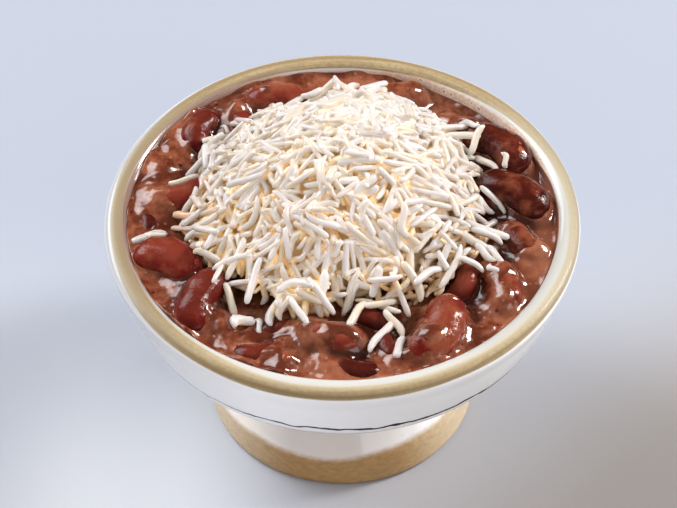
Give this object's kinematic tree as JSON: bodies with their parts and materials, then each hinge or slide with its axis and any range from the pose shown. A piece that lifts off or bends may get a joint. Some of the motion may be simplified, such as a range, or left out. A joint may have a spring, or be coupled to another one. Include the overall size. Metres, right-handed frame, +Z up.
{
  "type": "red beans and rice in a footed bowl",
  "caption": "Footed round bowl filled with a thick kidney bean stew, whole beans standing out of it, and a domed heap of long-grain rice on top.",
  "frame": {"origin": "middle of the bowl's foot, on the surface it stands on", "axes": "+Z up along the bowl's axis; the bowl is round, and the heap of rice leans a little towards +Y, with its front towards -Y"},
  "size_m": [0.13, 0.13, 0.0937],
  "materials": {
    "glazed_stoneware": "gloss",
    "bean_gravy": "gloss",
    "bean_skin": "gloss",
    "cooked_rice": "satin"
  },
  "bodies": {
    "root": {"bowl": "glazed_stoneware", "stew": "bean_gravy", "rice_heap": "cooked_rice", "bean_01": "bean_skin", "bean_02": "bean_skin", "bean_03": "bean_skin", "bean_04": "bean_skin", "bean_05": "bean_skin", "bean_06": "bean_skin", "bean_07": "bean_skin", "bean_08": "bean_skin", "bean_09": "bean_skin", "bean_10": "bean_skin", "bean_11": "bean_skin", "bean_12": "bean_skin", "bean_13": "bean_skin", "bean_14": "bean_skin", "bean_15": "bean_skin", "bean_16": "bean_skin", "bean_17": "bean_skin", "bean_18": "bean_skin", "bean_19": "bean_skin", "bean_20": "bean_skin", "bean_21": "bean_skin", "bean_22": "bean_skin", "bean_23": "bean_skin", "bean_24": "bean_skin", "bean_25": "bean_skin"}
  },
  "joints": []
}
